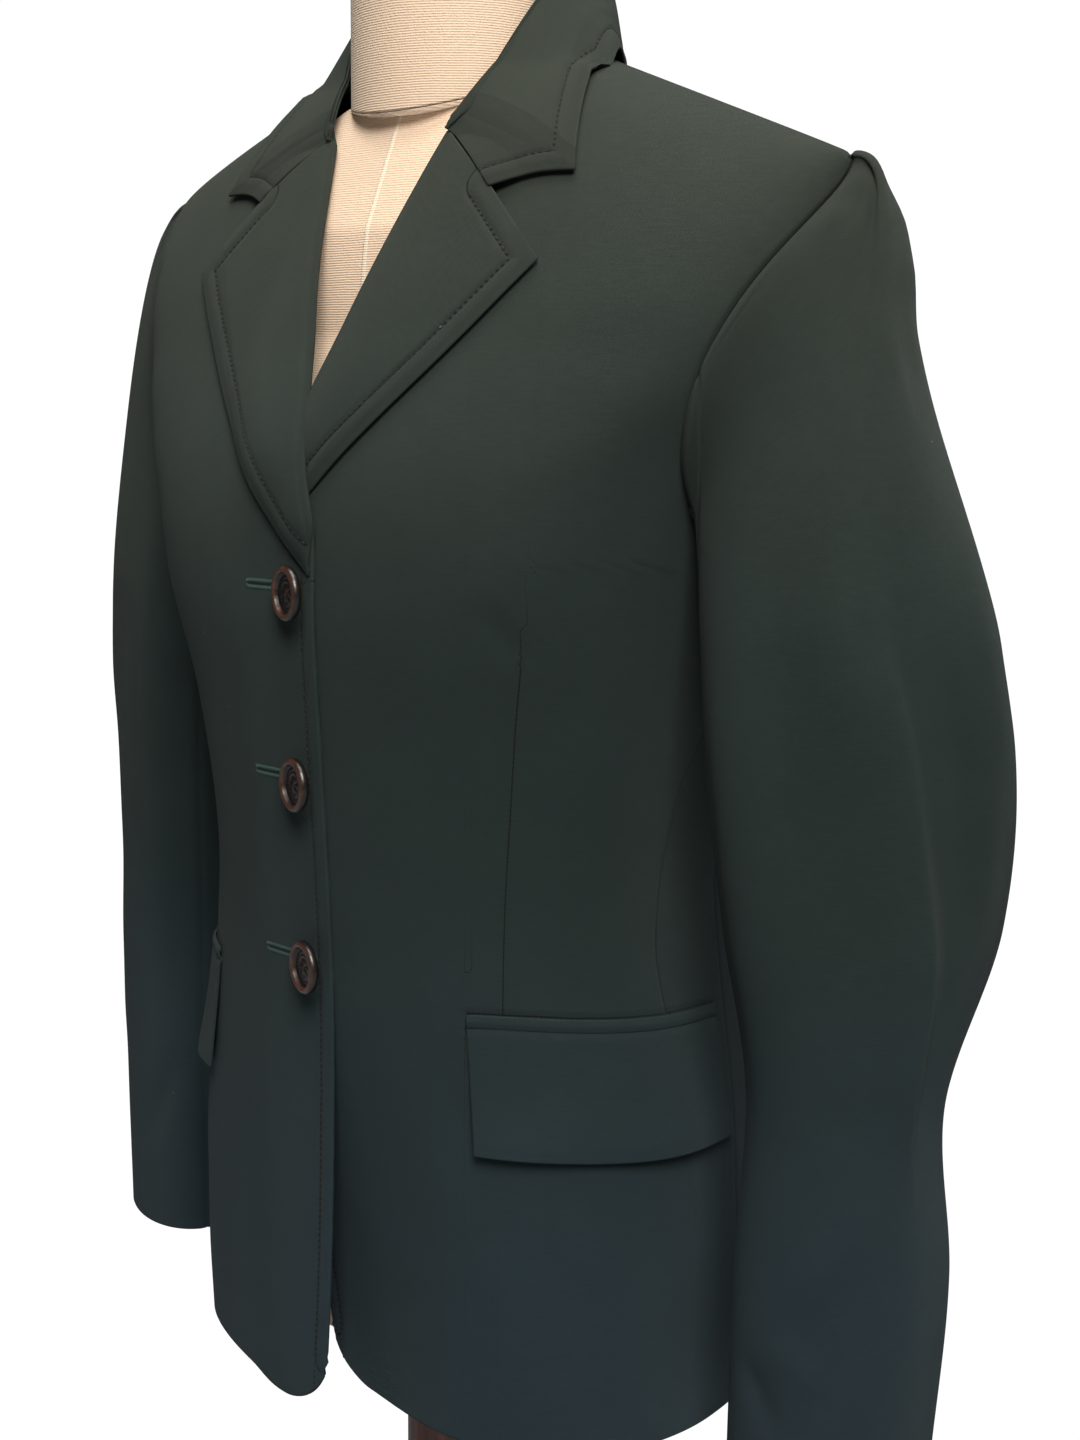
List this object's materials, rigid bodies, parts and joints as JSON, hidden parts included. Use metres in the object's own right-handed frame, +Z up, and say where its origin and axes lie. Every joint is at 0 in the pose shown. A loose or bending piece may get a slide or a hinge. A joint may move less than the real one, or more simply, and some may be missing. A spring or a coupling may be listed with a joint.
{
  "type": "equestrian show coat on a limbless dress form",
  "caption": "Tailored riding show coat with notched lapels, set-in sleeves and flap pockets, buttoned over a limbless dress form on a round wooden foot.",
  "frame": {"origin": "on the floor, at the centre of the underside of the round foot, under the pole", "axes": "+Z up; the coat's front faces -Y; +X is towards the wearer's left"},
  "size_m": [0.565, 0.3094, 0.955],
  "materials": {
    "cloth": "matte dark green stretch cloth",
    "button": "polished dark horn",
    "jersey": "cream knitted jersey",
    "wood": "satin red-brown varnish"
  },
  "bodies": {
    "root": {"front_left": "cloth", "front_right": "cloth", "back_left": "cloth", "back_right": "cloth", "lapel_left": "cloth", "lapel_right": "cloth", "collar": "cloth", "sleeve_top_left": "cloth", "sleeve_under_left": "cloth", "sleeve_top_right": "cloth", "sleeve_under_right": "cloth", "welt_left": "cloth", "welt_right": "cloth", "flap_left": "cloth", "flap_right": "cloth", "button_1": "button", "button_2": "button", "button_3": "button", "form_body": "jersey", "form_neck": "jersey", "pole": "wood", "base": "wood"}
  },
  "joints": []
}
